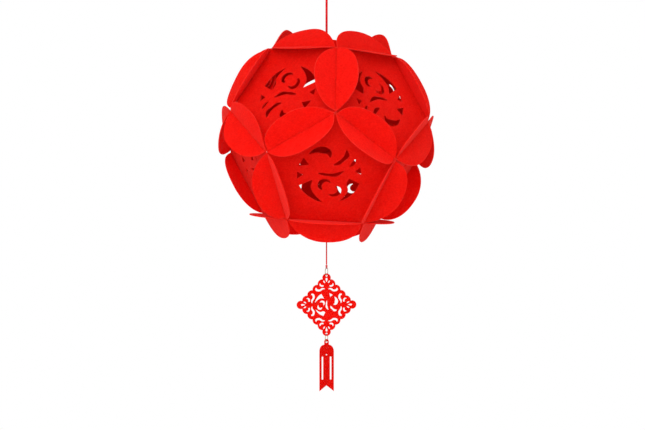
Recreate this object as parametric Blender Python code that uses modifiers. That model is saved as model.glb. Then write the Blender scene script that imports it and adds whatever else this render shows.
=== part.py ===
"""A round felt lantern: twelve interlocked die-cut panels on a cord, with a pendant and a tag below.

Units are metres, +Z is up, and the front is -Y. The origin is the inside top of the hanging loop.
"""

import math

import bmesh
import bpy
from mathutils import Matrix, Vector

# The ball
EDGE = 0.100  # edge of the dodecahedron that the twelve panels make
FELT = 0.0015  # thickness of the felt
GAP = 0.0003  # space between neighbouring solids
MERGE = 0.00001  # points nearer than this are one
TILT = math.radians(3.18)  # the ball hangs this far out of true
BALL_Z = -0.225  # centre of the ball, below the hanging loop

# Regular dodecahedron and pentagon, for an edge of 1
FACE_DISTANCE = 1.1135
FACE_POLAR = math.radians(63.435)
PENTAGON_INRADIUS = 0.6882
GOLDEN = (1 + math.sqrt(5)) / 2

# One panel: its five flaps and the slits that lock it to its neighbours
FLAP_HEIGHT = 0.31 * EDGE
TAPER_SETBACK = 0.004  # from the vertex to the flap's tapered end
BLUNT_SETBACK = 0.0035  # from the vertex to the flap's blunt end
BLUNT_POWER = 2.3  # roundness of the blunt end
SLIT_WIDTH = GOLDEN * FELT + 2 * GAP
CORNER_CUT = 0.002  # how far the slit's inner wall stops before the vertex
MEDALLION_RADIUS = 0.42 * EDGE

# The cords, the knots and the washers
CORD_RADIUS = 0.0014
LOOP_WIDTH = 0.0090
LOOP_LEG_X = 0.0020  # of each leg where it leaves the knot
LOOP_TAPER = 1.5  # how fast the loop narrows towards its knot
LOOP_POINTS = 22
LOOP_KNOT_RADIUS = 0.0036
LOOP_KNOT_Z = BALL_Z + 0.192
STOP_KNOT_RADIUS = 0.0034
WASHER_RADIUS = 0.0090
WASHER_HOLE_RADIUS = 0.0018
STRING_RADIUS = 0.0008
STRING_KNOT_RADIUS = 0.0026
RING_KNOT_RADIUS = 0.0017

# The rings, the pendant and the tag
WIRE_RADIUS = 0.0004
RING_RADIUS = 0.0052
RING_TURN = math.radians(66)  # of the ring's plane from the front
HOLE_RADIUS = 0.0014
HOLE_DROP = 0.0006  # from the wire's centre to the centre of the hole that hangs on it
UPPER_RING_Z = BALL_Z - 0.1851
LOWER_RING_Z = BALL_Z - 0.2772
PENDANT_Z = BALL_Z - 0.2312
PENDANT_LOBE_RADIUS = 0.0058
PENDANT_SCALLOP_RADIUS = 0.0065
PENDANT_SCALLOP_INSET = 0.0019
SCALLOP_STEP = math.radians(32)  # longest arc between two points of the scalloped edge
SCALLOPS = 4  # on each side of the pendant
PENDANT_HALF_WIDTH = 0.0413
PENDANT_HALF_HEIGHT = 0.0434
PENDANT_MEDALLION_RADIUS = 0.0168
PENDANT_STROKE_WEIGHT = 1.25  # the pendant's medallion has wider strokes than a panel's
TAG_HALF_WIDTH = 0.0100
TAG_TOP_Z = BALL_Z - 0.2790
TAG_LENGTH = 0.0724
TAG_NOTCH = 0.0072  # depth of the swallow tail
TAB_HALF_WIDTH = 0.0032
TAB_LENGTH = 0.0070  # the flat tab at the tag's top
TAG_SHOULDER = 0.0066  # width of each shoulder below the tab
SHOULDER_HEIGHT = 0.0085
SHOULDER_DROP = 0.0010  # of the shoulders below the end of the tab
TAG_FOLD = math.radians(12)  # of each half out of the front plane
PIN_HOLE_Y = -0.0222  # below the tag's top
PIN_HOLE_RADIUS = 0.0010
SLOT_X = 0.0057  # middle of each long slot in the tag
SLOT_HALF_WIDTH = 0.0011
SLOT_TOP_Y = -0.0248
SLOT_BOTTOM_Y = -0.0562

FELT_RED = (0.78, 0.010, 0.006, 1)
CORD_RED = (0.66, 0.008, 0.010, 1)
GOLD = (0.83, 0.58, 0.20, 1)

STEP = math.radians(72)

# Openings of the medallion, for a radius of 1 and with edge 0 of the panel at -y.
# A stroke is a line of (x, y, half width), and a cut is a straight-sided outline.
CENTRE_STROKE = (
    (-0.34, 0.03, 0.012), (-0.15, 0.0, 0.045), (0.0, -0.01, 0.04), (0.15, 0.0, 0.06), (0.27, 0.05, 0.05),
    (0.42, 0.15, 0.012),
)
LEFT_SWIRL = (
    (0.05, -0.26, 0.015), (-0.09, -0.20, 0.045), (-0.23, -0.26, 0.065), (-0.27, -0.41, 0.055),
    (-0.20, -0.53, 0.02),
)
RIGHT_SWIRL = (
    (0.03, -0.68, 0.015), (0.17, -0.70, 0.045), (0.31, -0.62, 0.065), (0.33, -0.47, 0.055),
    (0.22, -0.38, 0.02),
)
LEAF_STROKE = (
    (-0.66, 0.66, 0.015), (-0.48, 0.78, 0.07), (-0.27, 0.81, 0.11), (-0.08, 0.74, 0.08), (-0.03, 0.58, 0.02),
)
BUD_STROKE = (
    (0.10, 0.34, 0.02), (0.24, 0.40, 0.06), (0.36, 0.52, 0.05), (0.46, 0.66, 0.075), (0.44, 0.84, 0.02),
)
OUTER_STROKE = ((0.58, 0.30, 0.015), (0.68, 0.42, 0.05), (0.72, 0.56, 0.015))
LEFT_CRESCENT = (
    (-0.50, -0.20), (-0.90, -0.42), (-0.78, -0.60), (-0.60, -0.76), (-0.38, -0.89), (-0.14, -0.97),
    (-0.40, -0.72), (-0.54, -0.46),
)
RIGHT_CRESCENT = (
    (0.60, -0.10), (0.54, -0.30), (0.60, -0.50), (0.52, -0.70), (0.36, -0.91), (0.60, -0.77),
    (0.80, -0.55), (0.93, -0.25),
)
LEFT_CUT = ((-0.82, 0.52), (-0.96, 0.23), (-0.64, 0.30))
LEFT_NICK = ((-0.98, 0.04), (-0.97, -0.20), (-0.80, -0.05))
RIGHT_NICK = ((0.95, 0.06), (0.90, 0.30), (0.76, 0.15))

# Openings beside a corner of the pendant, in metres, with the corner's lobe centre at (0, 0) and outward up
PETAL_STROKE = ((0.0022, -0.0074, 0.0003), (0.0034, -0.0058, 0.0009), (0.0042, -0.0040, 0.0004))
CURL_STROKE = (
    (0.0042, -0.0112, 0.0009), (0.0062, -0.0116, 0.0011), (0.0086, -0.0104, 0.0010),
    (0.0088, -0.0080, 0.0004),
)
SWEEP_STROKE = (
    (0.0024, -0.0156, 0.0004), (0.0056, -0.0154, 0.0011), (0.0098, -0.0178, 0.0013),
    (0.0138, -0.0170, 0.0014), (0.0146, -0.0144, 0.0008),
)
TEARDROP_HALF = ((0, -0.0062), (0.0008, -0.0042), (0.0014, -0.0020), (0.0009, -0.0007), (0, -0.0003))


def clear_scene():
    for obj in list(bpy.data.objects):
        bpy.data.objects.remove(obj, do_unlink=True)


def make_material(name, colour, roughness, metallic=0.0):
    material = bpy.data.materials.new(name)
    material.use_nodes = True
    shader = material.node_tree.nodes["Principled BSDF"]
    shader.inputs["Base Color"].default_value = colour
    shader.inputs["Roughness"].default_value = roughness
    shader.inputs["Metallic"].default_value = metallic
    material.diffuse_color = colour
    return material


def add_object(name, data, collection, material=None, parent=None, matrix=None):
    obj = bpy.data.objects.new(name, data)
    collection.objects.link(obj)
    obj.parent = parent
    if matrix is not None:
        obj.matrix_local = matrix
    if material and not data.materials:
        data.materials.append(material)
    return obj


def add_empty(name, collection, matrix, parent=None):
    return add_object(name, None, collection, parent=parent, matrix=matrix)


# Flat outlines


def mirrored(points):
    return [(-x, y) for x, y in reversed(points)]


def scaled(points, factor):
    return [(x * factor, y * factor) for x, y in points]


def circle(x, y, radius, count=8):
    angles = [2 * math.pi * i / count for i in range(count)]
    return [(x + radius * math.cos(a), y + radius * math.sin(a)) for a in angles]


def stroke_outline(stroke):
    """The outline of a curved stroke whose half width varies, with a point at each end."""
    left, right = [], []
    for i, (x, y, half) in enumerate(stroke):
        before = stroke[max(i - 1, 0)]
        after = stroke[min(i + 1, len(stroke) - 1)]
        dx, dy = after[0] - before[0], after[1] - before[1]
        length = math.hypot(dx, dy)
        across = (-dy / length * half, dx / length * half)
        left.append((x + across[0], y + across[1]))
        right.append((x - across[0], y - across[1]))
    return right + left[::-1]


def medallion_openings(radius, weight=1.0):
    """The openings of a round scroll medallion, with its strokes this much wider."""
    strokes = [CENTRE_STROKE, LEFT_SWIRL, RIGHT_SWIRL, LEAF_STROKE, BUD_STROKE]
    cuts = [LEFT_CRESCENT, RIGHT_CRESCENT, LEFT_CUT]
    outlines = [stroke_outline([(x, y, half * weight) for x, y, half in s]) for s in strokes]
    return [scaled(outline, radius) for outline in outlines + cuts]


def small_openings(radius):
    """The medallion's smallest openings, which only a panel has."""
    return [scaled(outline, radius) for outline in (stroke_outline(OUTER_STROKE), LEFT_NICK, RIGHT_NICK)]


def flap_points():
    """One flap's outline, as (along the edge, outward) from the middle of its edge.

    It rises on an arc from its tapered end and comes down on a superellipse to its blunt end.
    """
    reach = EDGE / 2 - TAPER_SETBACK
    arc_radius = (FLAP_HEIGHT**2 + reach**2) / (2 * FLAP_HEIGHT)
    sweep = math.asin(reach / arc_radius)
    arc_steps, end_steps = 5, 7
    points = []
    for i in range(arc_steps):
        angle = sweep * (1 - i / arc_steps)
        height = arc_radius * math.cos(angle) - arc_radius + FLAP_HEIGHT
        points.append((-arc_radius * math.sin(angle), height))
    lowest = math.asin((SLIT_WIDTH / 2 / FLAP_HEIGHT) ** (BLUNT_POWER / 2))
    for i in range(end_steps + 1):
        angle = math.pi / 2 + (lowest - math.pi / 2) * i / end_steps
        along = (EDGE / 2 - BLUNT_SETBACK) * math.cos(angle) ** (2 / BLUNT_POWER)
        points.append((along, FLAP_HEIGHT * math.sin(angle) ** (2 / BLUNT_POWER)))
    return points


def slit_points():
    """The slit from the vertex to just past the middle of the edge, as (along the edge, outward)."""
    half = SLIT_WIDTH / 2
    bend = half * math.sqrt(0.5)
    round_end = [(0, half), (-bend, bend), (-half, 0), (-bend, -bend), (0, -half)]
    return round_end + [(EDGE / 2 - CORNER_CUT, -half)]


def panel_outline():
    """The die-cut panel: a pentagon with a flap and a slit on each edge, anticlockwise from edge 0."""
    points = []
    for k in range(5):
        along = Vector((math.cos(STEP * k), math.sin(STEP * k)))
        outward = Vector((along.y, -along.x))
        for u, n in flap_points() + slit_points():
            points.append(tuple(outward * (PENTAGON_INRADIUS * EDGE + n) + along * u))
    return points


def scalloped_outline(circles):
    """The outer outline of a closed chain of overlapping circles (x, y, radius), listed clockwise."""
    points = []
    count = len(circles)
    for i, (x, y, radius) in enumerate(circles):
        start = outer_crossing(circles[i - 1], circles[i])
        end = outer_crossing(circles[i], circles[(i + 1) % count])
        first = math.atan2(start[1] - y, start[0] - x)
        turn = (first - math.atan2(end[1] - y, end[0] - x)) % (2 * math.pi)
        arc_steps = math.ceil(turn / SCALLOP_STEP)
        for step in range(arc_steps):
            angle = first - turn * step / arc_steps
            points.append((x + radius * math.cos(angle), y + radius * math.sin(angle)))
    return points[::-1]


def outer_crossing(first, second):
    """Where two circles cross, on the left of the way from the first to the second."""
    dx, dy = second[0] - first[0], second[1] - first[1]
    distance = math.hypot(dx, dy)
    along = (distance**2 + first[2] ** 2 - second[2] ** 2) / (2 * distance)
    height = math.sqrt(first[2] ** 2 - along**2)
    return (
        first[0] + (dx * along - dy * height) / distance,
        first[1] + (dy * along + dx * height) / distance,
    )


def pendant_circles():
    """The lobes at the four corners and the scallops between them, clockwise from the top."""
    top = Vector((0, PENDANT_HALF_HEIGHT - PENDANT_LOBE_RADIUS))
    right = Vector((PENDANT_HALF_WIDTH - PENDANT_LOBE_RADIUS, 0))
    corners = [top, right, -top, -right]
    circles = []
    for i, corner in enumerate(corners):
        circles.append((*corner, PENDANT_LOBE_RADIUS))
        side = corners[(i + 1) % 4] - corner
        inward = Vector((side.y, -side.x)).normalized() * PENDANT_SCALLOP_INSET
        for k in range(1, SCALLOPS + 1):
            centre = corner + side * k / (SCALLOPS + 1) + inward
            circles.append((*centre, PENDANT_SCALLOP_RADIUS))
    return circles


def corner_openings():
    """The openings of one pendant corner that points up, with its lobe centre at (0, 0)."""
    teardrop = list(TEARDROP_HALF) + [(-x, y) for x, y in TEARDROP_HALF[-2:0:-1]]
    halves = [stroke_outline(s) for s in (PETAL_STROKE, CURL_STROKE, SWEEP_STROKE)]
    return [teardrop] + halves + [mirrored(h) for h in halves]


def pendant_splines():
    splines = [scalloped_outline(pendant_circles())]
    for quarter in range(4):
        out = (PENDANT_HALF_WIDTH if quarter % 2 else PENDANT_HALF_HEIGHT) - PENDANT_LOBE_RADIUS
        turn = Matrix.Rotation(-quarter * math.pi / 2, 2)
        for opening in corner_openings():
            splines.append([tuple(turn @ Vector((x, y + out))) for x, y in opening])
    for opening in medallion_openings(PENDANT_MEDALLION_RADIUS, PENDANT_STROKE_WEIGHT):
        splines.append([(y, -x) for x, y in opening])
    top_hole = UPPER_RING_Z - RING_RADIUS - HOLE_DROP - PENDANT_Z
    bottom_hole = LOWER_RING_Z + RING_RADIUS + HOLE_DROP - PENDANT_Z
    splines.append(circle(0, top_hole, HOLE_RADIUS))
    splines.append(circle(0, bottom_hole, HOLE_RADIUS))
    return splines


def flat_sheet(name, splines):
    """A sheet of felt cut to these outlines, the first one outside, centred on its own plane."""
    data = bpy.data.curves.new(name, "CURVE")
    data.dimensions = "2D"
    data.fill_mode = "BOTH"
    data.extrude = FELT / 2
    for points in splines:
        spline = data.splines.new("POLY")
        spline.points.add(len(points) - 1)
        spline.use_cyclic_u = True
        for point, (x, y) in zip(spline.points, points):
            point.co = (x, y, 0, 1)
    return data


# Solid shapes


def tube(name, points, radius):
    data = bpy.data.curves.new(name, "CURVE")
    data.dimensions = "3D"
    data.bevel_depth = radius
    data.bevel_resolution = 2
    data.use_fill_caps = True
    spline = data.splines.new("POLY")
    spline.points.add(len(points) - 1)
    spline.use_smooth = True
    for point, place in zip(spline.points, points):
        point.co = (*place, 1)
    return data


def straight_tube(name, top, bottom, radius):
    """A hanging cord: an upright tube with a point about every three diameters."""
    count = round((top - bottom) / (6 * radius))
    return tube(name, [(0, 0, top + (bottom - top) * i / count) for i in range(count + 1)], radius)


def smooth_mesh(name, bm):
    for face in bm.faces:
        face.smooth = True
    mesh = bpy.data.meshes.new(name)
    bm.to_mesh(mesh)
    bm.free()
    return mesh


def ball_knot(name, radius):
    bm = bmesh.new()
    bmesh.ops.create_uvsphere(bm, u_segments=16, v_segments=10, radius=radius)
    return smooth_mesh(name, bm)


def turned(name, profile, collection, material, matrix, steps=16):
    """A profile of (radius, height) turned about Z."""
    mesh = bpy.data.meshes.new(name)
    edges = [(i, i + 1) for i in range(len(profile) - 1)]
    if profile[0][0] > 0:
        edges.append((len(profile) - 1, 0))
    mesh.from_pydata([(r, 0, z) for r, z in profile], edges, [])
    obj = add_object(name, mesh, collection, material, matrix=matrix)
    screw = obj.modifiers.new("turn", "SCREW")
    screw.steps = screw.render_steps = steps
    screw.use_merge_vertices = True
    screw.merge_threshold = MERGE
    screw.use_normal_calculate = True
    screw.use_normal_flip = profile[0][0] > 0
    screw.use_smooth_shade = profile[0][0] == 0
    return obj


def ring(name, collection, material, matrix):
    """A round wire ring that stands in its own XZ plane."""
    bpy.ops.mesh.primitive_torus_add(
        major_radius=RING_RADIUS, minor_radius=WIRE_RADIUS, major_segments=32, minor_segments=8
    )
    obj = bpy.context.object
    obj.name = obj.data.name = name
    for other in list(obj.users_collection):
        other.objects.unlink(obj)
    collection.objects.link(obj)
    obj.matrix_world = matrix @ Matrix.Rotation(math.pi / 2, 4, "X")
    obj.data.materials.append(material)
    for polygon in obj.data.polygons:
        polygon.use_smooth = True
    return obj


# Places


def basis(x, y, z, place):
    return Matrix.Translation(place) @ Matrix((x, y, z)).transposed().to_4x4()


def face_matrix(polar, azimuth, bottom_edge_up):
    """The frame of a panel: +Z outward, and edge 0, at -Y, towards the ball's top or bottom."""
    around = Vector((math.cos(azimuth), math.sin(azimuth), 0))
    upward = Vector((0, 0, 1))
    normal = around * math.sin(polar) + upward * math.cos(polar)
    up = upward * math.sin(polar) - around * math.cos(polar)
    y = -up if bottom_edge_up else up
    return basis(y.cross(normal), y, normal, normal * FACE_DISTANCE * EDGE)


def panel_places():
    """The name and the frame of each of the twelve panels."""
    places = {"panel_top": face_matrix(0.0, -math.pi / 2, True)}
    for k in range(5):
        azimuth = math.radians(-54) + STEP * k
        places[f"panel_upper_{k + 1}"] = face_matrix(FACE_POLAR, azimuth, True)
    for k in range(5):
        azimuth = math.radians(-90) + STEP * k
        places[f"panel_lower_{k + 1}"] = face_matrix(math.pi - FACE_POLAR, azimuth, False)
    places["panel_bottom"] = face_matrix(math.pi, math.pi / 2, False)
    return places


def on_axis(distance):
    """The height on the cord's axis of a point this far from the ball's centre along the ball's axis."""
    return BALL_Z + distance / math.cos(TILT)


# Sub-parts


def make_ball(collection, felt):
    ball = add_empty("ball", collection, Matrix.Translation((0, 0, BALL_Z)) @ Matrix.Rotation(TILT, 4, "Y"))
    openings = medallion_openings(MEDALLION_RADIUS) + small_openings(MEDALLION_RADIUS)
    data = flat_sheet("panel", [panel_outline()] + openings)
    for name, matrix in panel_places().items():
        add_object(name, data, collection, felt, parent=ball, matrix=matrix)


def make_washer(name, side, collection, felt):
    """The felt washer that lies inside the top (side 1) or the bottom (side -1) panel, round the cord."""
    away = FACE_DISTANCE * EDGE - FELT - GAP
    matrix = Matrix.Translation((0, 0, on_axis(side * away))) @ Matrix.Rotation(TILT, 4, "Y")
    half = FELT / 2
    profile = [(WASHER_HOLE_RADIUS, -half), (WASHER_RADIUS, -half)]
    profile += [(WASHER_RADIUS, half), (WASHER_HOLE_RADIUS, half)]
    turned(name, profile, collection, felt, matrix)


def stop_knot_z(side, radius):
    """The height of a stop knot that holds the washer of this side from inside the ball."""
    return on_axis(side * (FACE_DISTANCE * EDGE - 1.5 * FELT - 2 * GAP - radius))


def make_hanging_cord(collection, cord):
    knot_at = Matrix.Translation((0, 0, LOOP_KNOT_Z))
    bottom = LOOP_KNOT_Z + LOOP_KNOT_RADIUS + GAP
    height = CORD_RADIUS - bottom
    points = []
    for i in range(LOOP_POINTS + 1):
        turn = 2 * math.pi * i / LOOP_POINTS
        swell = LOOP_WIDTH * math.sin(turn) * math.sin(turn / 2) ** LOOP_TAPER
        rise = height * (1 - math.cos(turn)) / 2
        points.append((swell + LOOP_LEG_X * math.cos(turn / 2), 0, bottom + rise))
    add_object("hanging_loop", tube("hanging_loop", points, CORD_RADIUS), collection, cord)
    add_object("loop_knot", ball_knot("loop_knot", LOOP_KNOT_RADIUS), collection, cord, matrix=knot_at)

    stop_z = stop_knot_z(1, STOP_KNOT_RADIUS)
    low = stop_z + STOP_KNOT_RADIUS + GAP - LOOP_KNOT_Z
    data = straight_tube("hanging_cord", -LOOP_KNOT_RADIUS - GAP, low, CORD_RADIUS)
    add_object("hanging_cord", data, collection, cord, matrix=knot_at)
    stop_at = Matrix.Translation((0, 0, stop_z))
    data = ball_knot("upper_stop_knot", STOP_KNOT_RADIUS)
    add_object("upper_stop_knot", data, collection, cord, matrix=stop_at)


def string_pivot_z():
    """Where the pendant's string bends freely, just under the bottom panel."""
    return on_axis(-(FACE_DISTANCE * EDGE + FELT / 2)) - 2 * STRING_RADIUS + GAP / 2


def make_pendant_string(collection, cord):
    knot_z = stop_knot_z(-1, STRING_KNOT_RADIUS)
    pivot = string_pivot_z()
    profile = [(0, STRING_KNOT_RADIUS)]
    for degrees in range(63, -73, -27):
        angle = math.radians(degrees)
        profile.append((STRING_KNOT_RADIUS * math.cos(angle), STRING_KNOT_RADIUS * math.sin(angle)))
    neck_end = pivot - knot_z
    tip = STRING_RADIUS * math.sqrt(0.5)
    profile += [(STRING_RADIUS, neck_end), (tip, neck_end - tip), (0, neck_end - STRING_RADIUS)]
    turned("lower_stop_knot", profile, collection, cord, Matrix.Translation((0, 0, knot_z)))

    ring_knot_z = UPPER_RING_Z + RING_RADIUS + WIRE_RADIUS + GAP + RING_KNOT_RADIUS
    low = ring_knot_z + RING_KNOT_RADIUS + GAP - pivot
    data = straight_tube("pendant_cord", -STRING_RADIUS - GAP, low, STRING_RADIUS)
    add_object("pendant_cord", data, collection, cord, matrix=Matrix.Translation((0, 0, pivot)))
    ring_knot_at = Matrix.Translation((0, 0, ring_knot_z))
    add_object("ring_knot", ball_knot("ring_knot", RING_KNOT_RADIUS), collection, cord, matrix=ring_knot_at)


def make_pendant(collection, felt, gold):
    turn = Matrix.Rotation(RING_TURN, 4, "Z")
    ring("upper_ring", collection, gold, Matrix.Translation((0, 0, UPPER_RING_Z)) @ turn)
    ring("lower_ring", collection, gold, Matrix.Translation((0, 0, LOWER_RING_Z)) @ turn)
    upright = Matrix.Translation((0, 0, PENDANT_Z)) @ Matrix.Rotation(math.pi / 2, 4, "X")
    add_object("pendant", flat_sheet("pendant", pendant_splines()), collection, felt, matrix=upright)


def arc(x, y, radius, degrees, height=None):
    """Points on a circle, or on an ellipse of this half height, at these angles."""
    height = height or radius
    angles = [math.radians(d) for d in degrees]
    return [(x + radius * math.cos(a), y + height * math.sin(a)) for a in angles]


def tag_half_outline():
    """The right half of the swallow-tailed tag, with its top at (0, 0), and both centre holes as notches."""
    hole_y = LOWER_RING_Z - RING_RADIUS - HOLE_DROP - TAG_TOP_Z
    shoulder_x = TAG_HALF_WIDTH - TAG_SHOULDER
    shoulder_y = -TAB_LENGTH - SHOULDER_HEIGHT - SHOULDER_DROP
    points = [(0, 0)]
    points += arc(0, -TAB_HALF_WIDTH, TAB_HALF_WIDTH, (60, 30, 0))
    points.append((TAB_HALF_WIDTH, -TAB_LENGTH))
    points += arc(shoulder_x, shoulder_y, TAG_SHOULDER, (90, 60, 30, 0), SHOULDER_HEIGHT)
    points += [(TAG_HALF_WIDTH, -TAG_LENGTH), (0, -TAG_LENGTH + TAG_NOTCH)]
    for y, radius in ((PIN_HOLE_Y, PIN_HOLE_RADIUS), (hole_y, HOLE_RADIUS)):
        points += arc(0, y, radius, (-90, -45, 0, 45, 90))
    return points


def tag_slot():
    left, right = SLOT_X - SLOT_HALF_WIDTH, SLOT_X + SLOT_HALF_WIDTH
    point = SLOT_HALF_WIDTH / 2
    upper = [(right, SLOT_TOP_Y), (SLOT_X, SLOT_TOP_Y + point), (left, SLOT_TOP_Y)]
    return upper + [(left, SLOT_BOTTOM_Y), (SLOT_X, SLOT_BOTTOM_Y - point), (right, SLOT_BOTTOM_Y)]


def make_tag(collection, felt):
    """The tag is one half, folded back from the crease at x = 0, and its mirror image."""
    half_curve = bpy.data.objects.new("tag_half", flat_sheet("tag_half", [tag_half_outline(), tag_slot()]))
    collection.objects.link(half_curve)
    bpy.context.view_layer.update()
    graph = bpy.context.evaluated_depsgraph_get()
    mesh = bpy.data.meshes.new_from_object(half_curve.evaluated_get(graph))
    bpy.data.objects.remove(half_curve)
    bm = bmesh.new()
    bm.from_mesh(mesh)
    bmesh.ops.remove_doubles(bm, verts=bm.verts, dist=MERGE)
    crease = [face for face in bm.faces if all(abs(v.co.x) < MERGE for v in face.verts)]
    bmesh.ops.delete(bm, geom=crease, context="FACES")
    lean = math.tan(TAG_FOLD)
    for v in bm.verts:
        share = min(max((-v.co.y - TAB_LENGTH) / SHOULDER_HEIGHT, 0), 1)
        v.co.z += (v.co.x - TAG_HALF_WIDTH / 2) * lean * share
    bm.to_mesh(mesh)
    bm.free()
    mesh.name = "tag"
    upright = Matrix.Translation((0, 0, TAG_TOP_Z)) @ Matrix.Rotation(math.pi / 2, 4, "X")
    tag = add_object("tag", mesh, collection, felt, matrix=upright)
    mirror = tag.modifiers.new("other half", "MIRROR")
    mirror.use_axis[0] = True
    mirror.merge_threshold = 2 * MERGE


def main():
    clear_scene()
    collection = bpy.data.collections.new("felt_ball_lantern")
    bpy.context.scene.collection.children.link(collection)
    felt = make_material("red_felt", FELT_RED, 0.9)
    cord = make_material("red_cord", CORD_RED, 0.7)
    gold = make_material("gold_wire", GOLD, 0.25, 1.0)
    make_ball(collection, felt)
    make_hanging_cord(collection, cord)
    make_washer("upper_washer", 1, collection, felt)
    make_washer("lower_washer", -1, collection, felt)
    make_pendant_string(collection, cord)
    make_pendant(collection, felt, gold)
    make_tag(collection, felt)


main()
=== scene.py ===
"""The looks of a hanging felt ball lantern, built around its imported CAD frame. Metres, +Z up, front -Y."""

import math

import bpy
import numpy as np
from mathutils import Matrix, Vector, kdtree
from mathutils.geometry import delaunay_2d_cdt


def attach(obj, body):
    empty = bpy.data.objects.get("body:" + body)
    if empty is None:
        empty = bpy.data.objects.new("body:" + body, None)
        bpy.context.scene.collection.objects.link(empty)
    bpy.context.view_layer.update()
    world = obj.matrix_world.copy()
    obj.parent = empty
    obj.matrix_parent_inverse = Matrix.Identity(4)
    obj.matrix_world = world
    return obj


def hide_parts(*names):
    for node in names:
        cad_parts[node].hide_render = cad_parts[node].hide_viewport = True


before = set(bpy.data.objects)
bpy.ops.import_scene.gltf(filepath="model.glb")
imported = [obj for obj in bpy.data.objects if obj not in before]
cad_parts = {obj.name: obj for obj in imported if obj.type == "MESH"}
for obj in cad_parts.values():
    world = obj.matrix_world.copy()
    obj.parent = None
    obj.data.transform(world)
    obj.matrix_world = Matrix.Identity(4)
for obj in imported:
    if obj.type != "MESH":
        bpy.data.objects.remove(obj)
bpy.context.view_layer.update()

# Sizes that the CAD part has too
EDGE = 0.100
FELT = 0.0015
TILT = math.radians(3.18)
BALL_Z = -0.225
FACE_DISTANCE = 1.1135  # of EDGE, from the ball's centre to each panel
FACE_POLAR = math.radians(63.435)  # of an upper panel's normal, from straight up
PENTAGON_INRADIUS = 0.6882  # of EDGE
FLAP_HEIGHT = 0.31 * EDGE
TAPER_SETBACK = 0.0013
BLUNT_SETBACK = 0.0030
BLUNT_POWER = 2.3
MEDALLION_RADIUS = 0.42 * EDGE
CORD_RADIUS = 0.0014
LOOP_WIDTH = 0.0090
LOOP_KNOT_RADIUS = 0.0036
LOOP_KNOT_Z = BALL_Z + 0.192
STOP_KNOT_RADIUS = 0.0034
WASHER_RADIUS = 0.0090
WASHER_HOLE_RADIUS = 0.0018
STRING_RADIUS = 0.0008
STRING_KNOT_RADIUS = 0.0026
RING_KNOT_RADIUS = 0.0017
WIRE_RADIUS = 0.0004
RING_RADIUS = 0.0052
RING_TURN = math.radians(66)
HOLE_RADIUS = 0.0014
HOLE_DROP = 0.0006
UPPER_RING_Z = BALL_Z - 0.1851
LOWER_RING_Z = BALL_Z - 0.2772
PENDANT_Z = BALL_Z - 0.2312
PENDANT_LOBE_RADIUS = 0.0058
PENDANT_SCALLOP_RADIUS = 0.0065
PENDANT_SCALLOP_INSET = 0.0019
PENDANT_HALF_WIDTH = 0.0413
PENDANT_HALF_HEIGHT = 0.0434
PENDANT_MEDALLION_RADIUS = 0.0168
PENDANT_STROKE_WEIGHT = 1.25
TAG_TOP_Z = BALL_Z - 0.2790
TAG_HALF_WIDTH = 0.0100
TAG_LENGTH = 0.0724
TAG_NOTCH = 0.0072
TAB_LENGTH = 0.0070
TAB_HALF = 0.0032
TAG_SHOULDER = 0.0066
SHOULDER_HEIGHT = 0.0085
SHOULDER_DROP = 0.0010
PIN_HOLE_Y = -0.0222
PIN_HOLE_RADIUS = 0.0010
SLOT_X = 0.0057
SLOT_HALF_WIDTH = 0.0011
SLOT_TOP_Y = -0.0248
SLOT_BOTTOM_Y = -0.0562
GAP = 0.0003
STEP = math.radians(72)  # from one side of a pentagon to the next

# Sheets of felt, as only the looks have them
SLIT = 0.00188  # width of a slit across the sheet; its walls lean with the neighbour that passes through
SLIT_LEAN = -0.5  # sideways, per unit of height above the sheet's middle
SLIT_LEAN_FADE = 0.0025  # how far past the slit's wall the lean dies out
CORNER_REACH = 0.0004  # of each panel's five corners, past the point where three panels meet
SOFT_EDGE = 0.00028  # rounding of a cut edge
PENDANT_SOFT_EDGE = 0.00020
TAG_SOFT_EDGE = 0.00022
PANEL_MESH = 0.0042  # distance between the points inside a sheet
PENDANT_MESH = 0.0022
TAG_MESH = 0.0012
WASHER_MESH = 0.0022
FLAP_SAG = 0.0050  # of the tip of a level flap under its own weight
CURL_POWER = 1.8  # above 1, so that a flap leaves its panel without a crease
TIP_SPREAD = 0.0008  # of the small random bends, at the tip and at the blunt end
BLUNT_SPREAD = 0.0007
DOME = 0.0006  # rise of a side panel's middle
DOME_SPREAD = 0.0005
SEED = 12
PENDANT_WAVE = 0.0004
PENDANT_WAVE_RATE = 48  # radians per metre
PENDANT_WAVE_START = 0.6
PENDANT_TWIST = 0.15  # lift for each x times y
TAG_FOLD = math.radians(21)  # of each half of the tag, from flat
CREASE_SIZE = 0.0007  # of the rounding of the tag's fold
TAG_PAINTED_SHADE = 0.80  # painted shade: the panels' felt colour times this, darker for the less light that reaches the tag
# Painted shade on the pendant as well: its felt colour is the panels' times this
PENDANT_PAINTED_SHADE = 0.97

# Cords and rings, as only the looks have them
CORD_FULLNESS = 1.15  # of a cord's loose outer fibres, beyond its nominal radius
STRANDS = 4
STRAND_SHARE = 0.54  # of a cord's radius, for the radius of its strands
STRAND_SIDES = 8
CORD_PITCH = 0.0062
STRING_PITCH = 0.0040
CORD_END_GAP = 0.0001  # between a cord's end and a knot that it swings on
END_TAPER = 0.55  # of a strand's or wire's radius, at its two ends
KNOT_CORD_SHARE = 0.34  # of a knot's radius, for the radius of the cord in it
KNOT_PITCH = 5  # times the radius of the cord in it
KNOT_TURNS = 2.8
KNOT_LEAN = math.radians(38)
KNOT_POLE = 0.12  # angle from each pole of a knot to the first wrap
LEG_X = 0.0015  # of the loop's two ends, side by side on their knot
BIGHT_RADIUS = 0.00095  # of the turn of string round the upper ring
BIGHT_CORD_RADIUS = 0.00042
BIGHT_PITCH = 0.0036
RING_WIRE_RADIUS = 0.00042
RING_WIRE_SIDES = 14
RING_SPLIT_AT = 20  # degrees up from the side
RING_SPLIT = 0.022  # half the opening between a ring's ends, in radians
RING_SIDESTEP = 0.00008  # of each end, out of the ring's plane

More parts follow.
